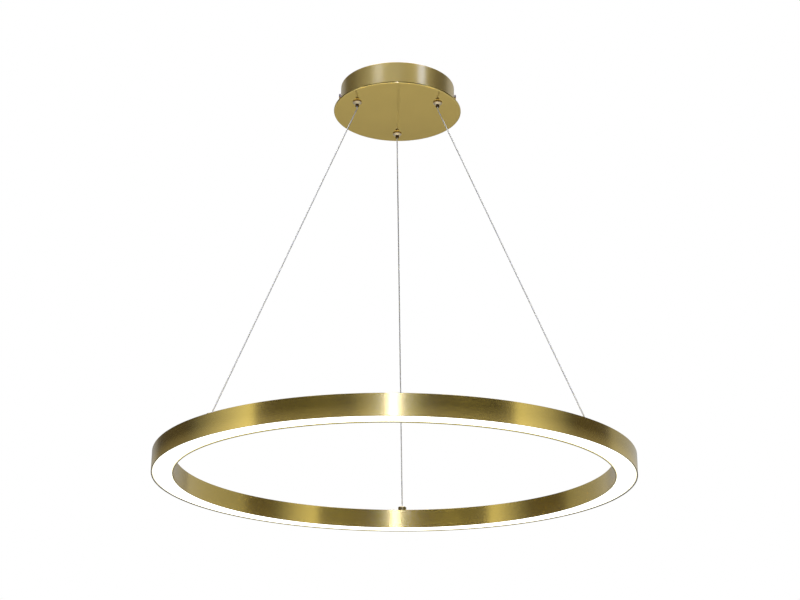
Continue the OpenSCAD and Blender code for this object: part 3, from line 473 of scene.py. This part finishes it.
# Side screws
# Two bronzed thumb screws with milled, slotted heads. They pass through the drum's wall into
# the ears of the bracket.
bronze = Finish("bronzed_screw", {"Metallic": 1.0})
across_head = bronze.y.hypotenuse(bronze.z - SIDE_SCREW_Z * MM)
# The pale middle of each head is a painted highlight; round it the head is dark bronze.
outside_painted_highlight = across_head.between(0.0030, 0.0042)
speck = bronze.noise(bronze.point, 1500.0, 3.0)
bronze.set({
    "Base Color": bronze.mix(outside_painted_highlight * 0.9 + speck * 0.1, (0.62, 0.58, 0.52), (0.16, 0.135, 0.15)),
    "Roughness": 0.22 + speck * 0.2,
}).bump(speck, 0.1, 0.0001)
dress(["side_screw_left", "side_screw_right"], bronze)


# Driver
# The case and lid are moulded from white flame-retardant plastic with a fine spark texture.
# The case stands on the drum's floor, held by a screw through the tab at each end.
def moulded(name, colour, roughness):
    """Moulded plastic: a fine spark texture and a faint cloud in the colour."""
    finish = Finish(name, {"IOR": 1.49})
    spark = finish.noise(finish.point, 2600.0, 2.0)
    cloud = finish.noise(finish.point, 40.0, 3.0)
    tone = finish.shades(cloud, colour, 0.93, 1.05)
    finish.set({"Base Color": tone, "Roughness": roughness + spark * 0.12})
    return finish.bump(spark, 0.25, 0.0001)


white_plastic = moulded("white_plastic", (0.78, 0.78, 0.76), 0.36)
dress(["driver_case", "driver_lid", "terminal_block"], white_plastic)

# Driver board
# A green board on four feet with its transformer, choke and capacitors. Bare tinned tracks
# run between the parts.
board = Finish("driver_board", {"IOR": 1.5})
weave = board.node("TexBrick", {}, {"Vector": board.point, "Scale": 90.0, "Mortar Size": 0.06}, 1)
parts_up = board.z.between(-0.0364, -0.0362)
yellow = board.noise(board.point, 45.0, 1.0).between(0.49, 0.51)
green = board.mix(weave, (0.42, 0.45, 0.40), (0.02, 0.14, 0.06))
boxes = board.mix(yellow, (0.03, 0.03, 0.035), (0.55, 0.42, 0.06))
board.set({"Base Color": board.mix(parts_up, green, boxes), "Roughness": 0.30 + weave * 0.1})
board.bump(weave, 0.2, 0.0001)
dress(["driver_board"], board)


# Leads of the rose
# Copper in extruded insulation: brown and blue from the terminal block to the driver, green
# and yellow to the bracket's stud, red and black from the driver to two cables.
def insulated(name, colour):
    """Soft extruded insulation: a low sheen, faint ridges and a little dust."""
    finish = Finish(name, {"IOR": 1.53, "Sheen Weight": 0.15})
    dust = finish.noise(finish.point, 300.0, 4.0, 0.6)
    ridges = finish.noise(finish.point, 1800.0, 2.0)
    dark, light = [tuple(c * k + d for c in colour) for k, d in ((0.85, 0.0), (1.0, 0.03))]
    finish.set({"Base Color": finish.mix(dust, dark, light), "Roughness": 0.42 + dust * 0.2})
    return finish.bump(ridges, 0.15, 0.0001)


def lead(name, points, diameter, finish, second=None):
    """A tube on a smooth curve through points in millimetres. Between two points the curve is
    the cubic that leaves each of them along the line between its two neighbours. A second
    finish, if any, takes half of the way round."""
    p = np.array(points) * MM
    p = np.concatenate([p[:1], p, p[-1:]])[:, None]
    t = np.linspace(0, 1, 10, endpoint=False)[None, :, None]
    a, b, c, d = p[:-3], p[1:-2], p[2:-1], p[3:]
    curve = 0.5 * (2 * b + (c - a) * t + (2 * a - 5 * b + 4 * c - d) * t**2 + (3 * b - a - 3 * c + d) * t**3)
    curve = np.concatenate([curve.reshape(-1, 3), p[-1]])
    piece = skin(name, capped(around(curve, diameter / 2 * MM, 20)), finish, closed=False)
    if second:
        piece.data.materials.append(second.material)
        middle = np.empty(len(piece.data.polygons) * 3, np.float32)
        piece.data.polygons.foreach_get("center", middle)
        middle = middle.reshape(-1, 3)
        nearest = np.abs(middle[:, None] - curve[None]).sum(2).argmin(1)
        upper_half = (middle - curve[nearest] > 0)[:, 2]
        piece.data.polygons.foreach_set("material_index", upper_half.astype(np.int32))
    return piece


brown = insulated("brown_insulation", (0.16, 0.055, 0.022))
blue = insulated("blue_insulation", (0.03, 0.11, 0.42))
earth_green = insulated("green_insulation", (0.05, 0.32, 0.06))
earth_yellow = insulated("yellow_insulation", (0.78, 0.62, 0.04))
red = insulated("red_insulation", (0.48, 0.03, 0.025))
black = insulated("black_insulation", (0.02, 0.02, 0.022))
stands_for("mains_leads", "canopy", [
    lead("live_lead", [
        (-45, 43, -37.8), (-45, 40, -37.8), (-46, 36.5, -37.3), (-70, 32.5, -35.3), (-85, 24, -33.8),
        (-83, 14, -32.8), (-78, 12, -32.8), (-74, 12, -32.8)], 2.6, brown),
    lead("neutral_lead", [
        (-35, 43, -37.8), (-35, 40, -37.8), (-36, 36.5, -36.3), (-45, 35, -31), (-66, 34, -30),
        (-84.4, 27.5, -30), (-91.4, 15, -31.2), (-83, 6, -32.8), (-78, 4, -32.8), (-74, 4, -32.8)],
        2.6, blue)])
tinned = galvanised("tinned_copper", (0.66, 0.64, 0.60), 0.10, 0.24)
STUD_X = -84.008
tag_outline = [(2.05, -2.8), (4, -2.8), (4, -2), (2.05, -2)]
tag = turned("earth_tag", rounded(tag_outline, 0.1), tinned, (STUD_X, 0), 48)
barrel = lead("earth_barrel", [(STUD_X, 3.6, -3.3), (STUD_X, 6, -3.8), (STUD_X, 9.5, -3.8)], 2.3, tinned)
stands_for("earth_lead", "canopy", [
    lead("earth_wire", [
        (-25, 43, -37.8), (-25, 40, -37.8), (-26, 36.5, -35.8), (-33, 35, -28), (-49, 35, -24.8),
        (-66, 34, -21.8), (-80, 28.5, -13.8), (STUD_X, 15, -7), (STUD_X, 9, -3.8), (STUD_X, 5, -3.8)],
        1.8, earth_yellow, earth_green),
    tag, barrel])
stands_for("output_leads", "canopy", [
    lead("plus_lead", [
        (74, 12, -32.8), (78, 12, -32.8), (85.4, 20, -32.8), (78, 37, -31.8), (58, 54, -30.8),
        (38, 74, -21.5), (20, 84, -12.5), (9, 86, -8.5), (3, 83.5, -8), (0.4, 83, -10.5), (0, 83, -13.5)],
        1.8, red),
    lead("minus_lead", [
        (74, 4, -32.8), (78, 4, -32.8), (87.4, -8, -31.8), (87.4, -21, -26.8), (85.88, -33.5, -12.5),
        (80.88, -38.5, -8.5), (74.88, -41, -8), (72.28, -41.5, -10.5), (71.88, -41.5, -13.5)],
        1.8, black)])


# Cable grips
# Each is a turned brass body: a flange and a satin cone under the plate, and a hollow threaded
# shank above it, clamped by a washer and a nut and closed by a plug. The flange's rim and the
# nozzle are painted dark: a painted dark reflection on the rim and painted shade on the nozzle.
def satin(name, dark, top, start, end):
    """Satin brass with a dark band of painted shade, which begins at the first depth under the
    ceiling and fades out between the other two."""
    finish = Finish(name, {"Metallic": 1.0})
    depth = 0.0 - finish.z
    painted_shade_band = depth.between(top - 0.0001, top + 0.0001) - depth.between(start, end)
    lathe = finish.lathed(5000.0)
    cloud = finish.noise(finish.point, 160.0, 3.0)
    plain, painted_shade = [finish.shades(cloud, tone, 0.92, 1.06) for tone in ((0.80, 0.68, 0.46), dark)]
    finish.set({"Base Color": finish.mix(painted_shade_band, plain, painted_shade),
                "Roughness": 0.30 + lathe * 0.08 + cloud * 0.06})
    return finish.bump(lathe, 0.04, 0.0001)


turned_brass = polished("turned_brass", (0.84, 0.65, 0.22), 0.07, 0.05)
dress(["grip_plugs"], turned_brass)
# The dark colours are a painted dark reflection on the flange's rim and painted shade on the nozzle.
grip_brass = satin("grip_brass", (0.26, 0.17, 0.06), 0.0476, 0.0489, 0.0491)
nozzle_brass = satin("nozzle_brass", (0.10, 0.07, 0.045), 0.0525, 0.0590, 0.0600)
dress(["grip_body_far", "grip_body_left", "grip_body_right"], grip_brass)
dress(["plunger_far", "plunger_left", "plunger_right"], nozzle_brass)

# Inside the grips
# A hardened wedge sleeve and three polished balls hold the cable, and a coil spring of steel
# wire presses the plunger down.
hardened = galvanised("hardened_steel", (0.30, 0.29, 0.29), 0.12, 0.30)
bearing_steel = galvanised("bearing_steel", (0.66, 0.66, 0.67), 0.03, 0.04)
spring_steel = galvanised("spring_steel", (0.42, 0.42, 0.43), 0.06, 0.20)
dress(["grip_wedges"], hardened)
dress(["grip_balls_far", "grip_balls_left", "grip_balls_right"], bearing_steel)
dress(["tail_crimps", "cable_end_far", "cable_end_left", "cable_end_right"], tinned)
jacket_end = moulded("jacket_end", (0.55, 0.55, 0.56), 0.25)
dress(["cable_tail_far", "cable_tail_left", "cable_tail_right"], jacket_end)
COIL_RADIUS, COIL_TURNS, COIL_LOW, COIL_HEIGHT, WIRE_RADIUS = 2.0, 4.5, -31.85, 5.55, 0.27
along = np.linspace(0, 1, 420)
wound = along * 2 * COIL_TURNS * np.pi
climb = COIL_HEIGHT * (along - 0.07 * np.sin(along * 4 * np.pi) / np.pi)
coil = np.stack([COIL_RADIUS * np.cos(wound), COIL_RADIUS * np.sin(wound), COIL_LOW + climb], -1)
for side, (x, y) in zip(("far", "left", "right"), GRIP_AXES):
    wire = around((coil + np.array([x, y, 0.0])) * MM, WIRE_RADIUS * MM, 10)
    spring = skin("spring_" + side, capped(wire), spring_steel, closed=False)
    stands_for("grip_spring_" + side, "canopy", [spring])
    "plunger_" + side + "_push"
    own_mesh(spring)

# Ring channel
# One profile rolled to a ring of 800 mm: two brushed walls, a web on top and two ledges that
# the diffuser snaps over. The same brushed and lacquered brass as the drum.
ring_brass = brushed("ring_brass", (0.84, 0.62, 0.115), 0.17, 0.12, 1.7, 0.9, 0.27)
out = ring_brass.x.hypotenuse(ring_brass.y)
depth = 0.0 - ring_brass.z
RING_OUTER, RING_INNER, RING_WALL, LEDGE = 400, 364, 1.6, 1.8
outer_face = out.between(RING_OUTER * MM - 0.00015, RING_OUTER * MM - 0.00005)
off_inner_face = out.between(RING_INNER * MM + 0.00005, RING_INNER * MM + 0.00015)
# Painted light: the walls glow faintly near their lower edge, most on the outer face, in place of the
# diffuser's light falling on them.
painted_glow = depth.between(0.7090, 0.7330) * (outer_face + 0.2 - 0.2 * off_inner_face)
# Painted shade on the lower lips of the walls and ledges: darkened, and darker still on the outer wall
# toward the left and right of the ring.
painted_shade_lip_mask = depth.between(0.7299, 0.7301) * off_inner_face * (1.0 - outer_face)
painted_side_shade = ring_brass.x * ring_brass.x / (out * out) * out.between(0.37, 0.39)
painted_lip_shade = ring_brass.mix(painted_side_shade, (0.30, 0.25, 0.04), (0.03, 0.025, 0.012))
ring_brass.set({
    "Base Color": ring_brass.mix(painted_shade_lip_mask, ring_brass.tone, painted_lip_shade),
    "Coat Weight": 1.0 - painted_shade_lip_mask,
    "Emission Color": ring_brass.mix(painted_glow, (0.0, 0.0, 0.0), (0.125, 0.092, 0.028)),
    "Emission Strength": 1.0,
})
RING_LOW = -731.5
RING_TOP, WEB_LOW, LEDGE_TOP, LEDGE_LOW = RING_LOW + 34, RING_LOW + 32, RING_LOW + 4.8, RING_LOW + 3.6
outside_wall, inside_wall = RING_OUTER - RING_WALL, RING_INNER + RING_WALL
outside_ledge, inside_ledge = outside_wall - LEDGE, inside_wall + LEDGE
channel = turned("channel", rounded([
    (RING_OUTER, RING_LOW), (RING_OUTER, RING_TOP), (RING_INNER, RING_TOP), (RING_INNER, RING_LOW),
    (inside_wall, RING_LOW), (inside_wall, LEDGE_LOW), (inside_ledge, LEDGE_LOW),
    (inside_ledge, LEDGE_TOP), (inside_wall, LEDGE_TOP), (inside_wall, WEB_LOW), (outside_wall, WEB_LOW),
    (outside_wall, LEDGE_TOP), (outside_ledge, LEDGE_TOP), (outside_ledge, LEDGE_LOW),
    (outside_wall, LEDGE_LOW), (outside_wall, RING_LOW)], 0.3, 2), ring_brass)
ANCHOR_HOLE = 8.4
channel = drilled(channel, upright(ANCHOR_AXES, (WEB_LOW + RING_TOP) / 2, ANCHOR_HOLE, 8))
stands_for("ring_channel", "ring", [channel])

# Anchors of the ring
# Turned brass barrels, each with a nylon bush in it, a crimped cable end on the bush, and a
# hollow stud with a washer and a nut under the web.
dull_brass = polished("dull_brass", (0.42, 0.33, 0.14), 0.16, 0.05)
dress(["anchor_far", "anchor_left", "anchor_right"], dull_brass)
nylon = moulded("natural_nylon", (0.72, 0.70, 0.62), 0.40)
dress(["anchor_bushes"], nylon)

# Leads of the ring
# A red lead runs from the far cable's end to the nearest board and a black one from the right
# cable's. Short jumpers past the left and the right anchor carry both poles from board to board.
ANCHORS = [(15.127, 376.697, 87.7), (-277.51, -255.18, 222.6), (290.06, -240.82, 320.3)]


def ring_lead(name, k, points, finish):
    """A lead placed on an anchor: points outwards, along the ring and up from its top."""
    x, y, bearing = ANCHORS[k]
    a, p = np.radians(bearing), np.array(points, float)
    spots = np.stack([x + p[:, 0] * np.cos(a) - p[:, 1] * np.sin(a),
                      y + p[:, 0] * np.sin(a) + p[:, 1] * np.cos(a), p[:, 2] + RING_TOP], -1)
    return lead(name, spots, 1.8, finish)


PAD, SAG = -4.55, -10.6
fall = [(0, 0, -2.55), (0, 0, -4), (0, 0, SAG + 2)]
run = [(1, 4, SAG), (2, 12, SAG + 1), (3, 18, PAD - 1.5), (3, 24, PAD), (3, 28, PAD)]
stands_for("ring_leads", "ring", [
    ring_lead("ring_plus", 0, fall + run, red),
    ring_lead("ring_minus", 2, fall + [(x, -y, z) for x, y, z in run], black)])
over = [(-28, PAD), (-24, PAD), (-16, PAD - 1.5), (-9, SAG), (0, SAG - 0.5), (9, SAG), (16, PAD - 1.5),
        (24, PAD), (28, PAD)]
stands_for("board_jumpers", "ring", [
    ring_lead("jumper_%s_%d" % (colour, k), k, [(x, y, z) for y, z in over], finish)
    for k in (1, 2) for colour, x, finish in (("plus", 8, red), ("minus", -2, black))])

# Light boards
# Three curved boards bonded end to end under the web: white solder mask on aluminium, with two
# tracks that run the whole way and a fine texture.
light_board = Finish("light_board", {"IOR": 1.5})
MIDDLE = (RING_OUTER + RING_INNER) / 2 * MM
off_middle = (light_board.x.hypotenuse(light_board.y) - MIDDLE).math("ABSOLUTE")
track = off_middle.between(0.0036, 0.0038) - off_middle.between(0.0062, 0.0064)
texture = light_board.noise(light_board.point, 1200.0, 3.0)
light_board.set({"Base Color": light_board.mix(track, (0.84, 0.84, 0.82), (0.74, 0.70, 0.60)),
                 "Roughness": 0.32 + texture * 0.15}).bump(track + texture * 0.2, 0.3, 0.0001)
dress(["led_board_a", "led_board_b", "led_board_c"], light_board)

# Light chips
# Forty-five white diodes, 3.5 by 2.8 mm, soldered to the boards, each with yellow phosphor on
# top. They are lit, so the phosphor glows a warm white.
chips = Finish("light_chip", {"Roughness": 0.4, "Emission Strength": 4.0})
glow = chips.noise(chips.point, 900.0, 1.0)
chips.set({"Base Color": chips.mix(glow, (0.80, 0.62, 0.12), (0.95, 0.85, 0.35)),
           "Emission Color": chips.mix(glow, (1.0, 0.86, 0.60), (1.0, 0.94, 0.80))})
dress(["led_chips"], chips)

# Diffuser
# An opal acrylic ring that is lit from inside. It fills the channel from wall to wall and
# snaps over the ledges with two legs. Its edges are dimmer and warmer.
opal = Finish("opal_acrylic", {"IOR": 1.49, "Emission Strength": 2.4})
from_axis = opal.x.hypotenuse(opal.y)
rim = (from_axis - MIDDLE).math("ABSOLUTE").between(0.0110, 0.0155)
# Painted shadow: a dim, dark line in the glow beside the outer wall.
painted_gap_shadow = from_axis.between(0.3971, 0.3976)
mottle = opal.noise(opal.point, 30.0, 2.0)
opal.set({
    "Base Color": opal.mix(mottle, (0.88, 0.88, 0.86), (0.93, 0.93, 0.91)),
    "Emission Color": opal.mix(painted_gap_shadow, opal.mix(rim, (1.0, 0.985, 0.95), (0.40, 0.37, 0.25)),
                               (0.14, 0.13, 0.07)),
    "Roughness": 0.35 + mottle * 0.1,
})
dress(["diffuser_ring"], opal)

# Floor and light
# A pale floor 2.4 m under the ceiling, a white surround for the camera, and the softboxes,
# cards and dark flags of a small studio, which the brass mirrors.
floor_finish = Finish("pale_floor", {"Roughness": 0.9})
floor_tone = floor_finish.noise(floor_finish.point, 3.0, 3.0)
floor_finish.set({"Base Color": floor_finish.mix(floor_tone, (0.78, 0.78, 0.77), (0.82, 0.82, 0.81))})


def level_sheet(name, half_width, height, finish):
    """A level square about the upright axis."""
    sides = (-half_width, half_width)
    corners = np.array([[(x, y, height) for x in sides] for y in sides])
    return skin(name, corners, finish, False, False)


floor = level_sheet("floor", 9.0, -2.4, floor_finish)


def card(name, ends, height, glow, tint=(1.0, 1.0, 1.0)):
    """An upright card that shines: a rectangle over a line between two places, whose light
    changes evenly from the first value at the first place to the second at the second."""
    ends = np.array(ends)
    finish = Finish(name, {"Base Color": (0.0, 0.0, 0.0), "Roughness": 1.0, "Specular IOR Level": 0.0,
                           "Emission Strength": 1.0})
    run = ends[1] - ends[0]
    along = finish.node("VectorMath", {"operation": "SUBTRACT"}, {0: finish.point, 1: tuple(ends[0])})
    per_run = tuple(run / np.linalg.norm(run) ** 2)
    along = finish.node("VectorMath", {"operation": "DOT_PRODUCT"}, {0: along, 1: per_run}, 1)
    finish.set({"Emission Color": finish.mix(along, *[tuple(g * t for t in tint) for g in glow])})
    lift = np.array([[0.0, 0.0, -height / 2], [0.0, 0.0, height / 2]])[:, None]
    sheet = skin(name, ends[None] + lift, finish, False, False)
    sheet.visible_camera = False
    sheet.visible_shadow = False


YELLOWISH, AMBER, CREAM = (1.0, 1.12, 0.5), (1.0, 0.92, 0.7), (0.93, 1.0, 0.9)
card("strip_left", [(-1.55, -0.92, -0.25), (-1.134, 0.024, -0.25)], 1.5, (1.02, 0.06))
card("strip_right", [(1.116, -1.0, -0.25), (1.485, -0.330, -0.25)], 1.5, (0.88, 0.06))
card("softbox_front", [(-0.10, -2.50, -0.10), (0.04, -2.50, -0.10)], 0.8, (9.5, 9.5), (1.0, 1.1, 2.6))
card("halo_left", [(-0.02, -2.52, -0.10), (-0.70, -2.52, -0.10)], 0.8, (0.95, 0.0), YELLOWISH)
card("halo_right", [(-0.02, -2.52, -0.10), (0.60, -2.52, -0.10)], 0.8, (0.95, 0.0), YELLOWISH)
card("softbox_high_left", [(-0.631, -0.608, 0.41), (-0.419, -0.792, 0.41)], 0.11, (1.25, 1.25),
     (0.93, 1.06, 1.4))
card("softbox_high_right", [(0.557, -0.669, 0.41), (0.683, -0.511, 0.41)], 0.11, (2.1, 2.1),
     (0.92, 1.12, 1.75))
card("skirt_high_left", [(-0.66, -0.63, 0.42), (-0.85, -0.33, 0.42)], 0.11, (0.50, 0.10), CREAM)
card("skirt_high_middle", [(-0.43, -0.83, 0.42), (0.15, -0.92, 0.42)], 0.11, (0.50, 0.18), CREAM)
card("panel_left", [(-0.78, 0.56, 0.2), (-0.78, 2.56, 0.2)], 3.0, (0.29, 0.46))
card("panel_right", [(1.22, 0.24, 0.2), (1.22, 2.44, 0.2)], 3.0, (0.33, 0.50))
card("skirt_left", [(-0.40, -2.50, 0.0), (-0.78, -2.49, 0.0)], 1.2, (0.42, 0.08), (1.0, 1.0, 0.7))
card("flag_left", [(-0.78, -2.49, 0.0), (-2.20, -2.20, 0.0)], 1.2, (0.035, 0.035), AMBER)
card("flag_right", [(0.62, -2.50, 0.0), (2.20, -2.20, 0.0)], 1.2, (0.030, 0.035), AMBER)
card("flag_high", [(1.19, 0.20, 1.05), (1.19, 0.57, 1.05)], 1.3, (0.07, 0.07))
lamp_finish = Finish("overhead", {"Emission Color": (1.0, 1.0, 1.0), "Emission Strength": 5.3})
lamp = level_sheet("overhead", 2.0, 2.6, lamp_finish)
lamp.visible_camera = False

world = bpy.data.worlds.new("studio")
world.use_nodes = True
world.node_tree.nodes.clear()
sky = Tree(world.node_tree)
direction_x = sky.node("SeparateXYZ", {}, {0: sky.node("TexCoord", output=0)})
direction_y = direction_x.other(1)
backward = direction_y / (direction_x.hypotenuse(direction_y) + 0.001)
behind, before = backward.between(0.80, 0.90), backward.between(-0.20, -0.70)
dark = sky.mix(before, (0.075, 0.062, 0.040), (0.074, 0.068, 0.051))
dim = sky.node("Background", {}, {0: sky.mix(behind, dark, (0.34, 0.34, 0.34)), 1: 1.0})
plain = sky.node("Background", {}, {0: (1.0, 1.0, 1.0), 1: 1.0})
camera_ray = sky.node("LightPath")
seen = camera_ray.math("MAXIMUM", camera_ray.other(6))
output = world.node_tree.nodes.new("ShaderNodeOutputWorld")
sky.feed(output.inputs[0], sky.node("MixShader", {}, {0: seen, 1: dim, 2: plain}))
bpy.context.scene.world = world
